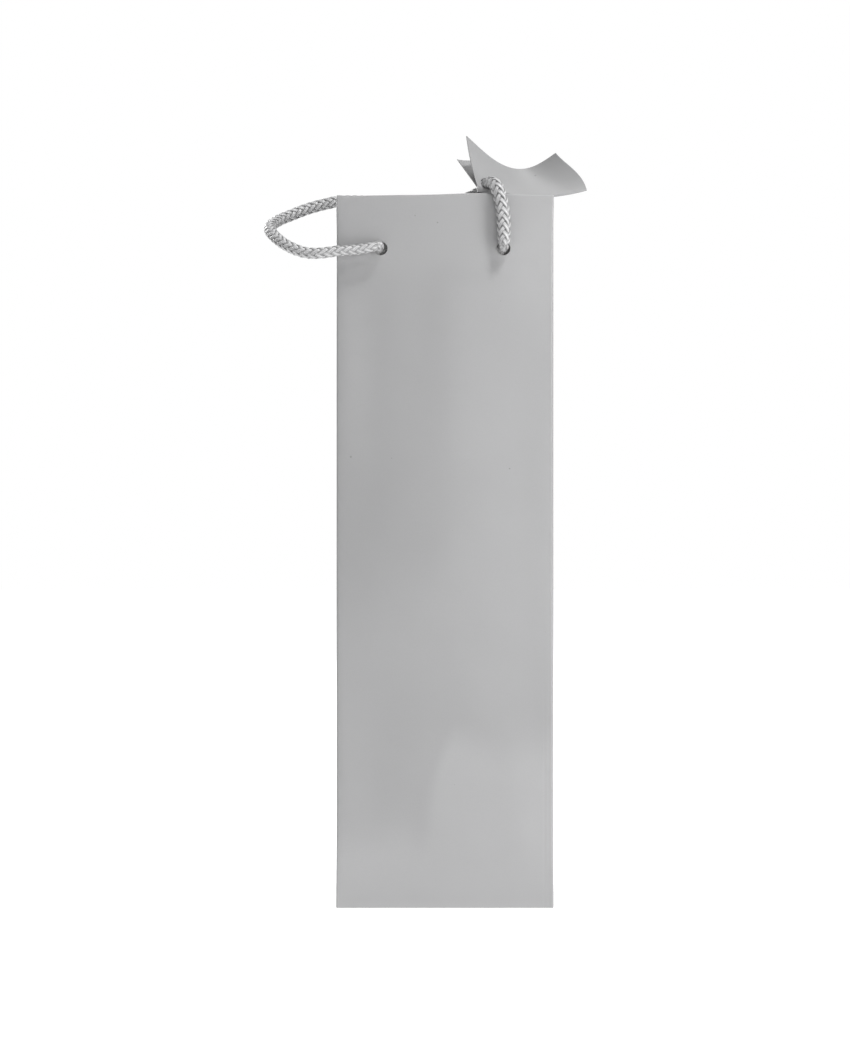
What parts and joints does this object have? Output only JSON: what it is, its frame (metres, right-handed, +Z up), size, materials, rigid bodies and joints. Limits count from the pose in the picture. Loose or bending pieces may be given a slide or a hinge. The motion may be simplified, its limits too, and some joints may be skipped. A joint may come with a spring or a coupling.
{
  "type": "wine gift bag",
  "caption": "Tall folded paper gift bag for a wine bottle, with braided rope handles, a folded tag, turned-in hem and a loose base board.",
  "frame": {"origin": "middle of the bag's foot, at the level that it stands on", "axes": "+Z up towards the mouth, +X to the right along the front panel's width, -Y out of the front panel"},
  "size_m": [0.1653, 0.107, 0.3926],
  "materials": {
    "bag_paper": "satin",
    "bag_paper_inside": "matte",
    "grey_board": "matte",
    "braided_rope": "silky",
    "tag_card": "satin"
  },
  "bodies": {
    "bag": {"front_panel": "bag_paper", "back_panel": "bag_paper", "left_gusset": "bag_paper", "right_gusset": "bag_paper", "side_seam_flap": "bag_paper_inside", "front_hem": "bag_paper", "back_hem": "bag_paper", "left_hem": "bag_paper", "right_hem": "bag_paper", "front_reinforcement": "grey_board", "back_reinforcement": "grey_board", "base_front_flap": "bag_paper", "base_back_flap": "bag_paper", "base_left_tuck": "bag_paper_inside", "base_right_tuck": "bag_paper_inside", "front_left_knot": "braided_rope", "front_right_knot": "braided_rope", "back_left_knot": "braided_rope", "back_right_knot": "braided_rope"},
    "loose_board": {"base_board": "grey_board"},
    "front_handle": {"front_handle_rope": "braided_rope"},
    "back_handle": {"back_handle_rope": "braided_rope"},
    "tag_front": {"tag_front_leaf": "tag_card"},
    "tag_back": {"tag_back_leaf": "tag_card"}
  },
  "joints": [
    {"name": "base_board_lift", "type": "slide", "parent": "bag", "child": "loose_board", "axis": [0, 0, 1], "range_m": [0, 0.3]},
    {"name": "front_handle_swing", "type": "hinge", "parent": "bag", "child": "front_handle", "pos_m": [-0.0015, -0.0505, 0.333], "axis": [1, 0, 0], "range_deg": [0, 175]},
    {"name": "back_handle_swing", "type": "hinge", "parent": "bag", "child": "back_handle", "pos_m": [-0.0015, 0.0505, 0.333], "axis": [1, 0, 0], "range_deg": [0, 180]},
    {"name": "tag_swing", "type": "hinge", "parent": "front_handle", "child": "tag_front", "pos_m": [0.0215, -0.0362, 0.367], "axis": [0.3301, -0.9102, 0.2501], "range_deg": [0, 45]},
    {"name": "tag_open", "type": "hinge", "parent": "tag_front", "child": "tag_back", "pos_m": [0.0446, -0.0351, 0.3616], "axis": [0.996, 0.089, 0], "range_deg": [-7, 8]}
  ]
}
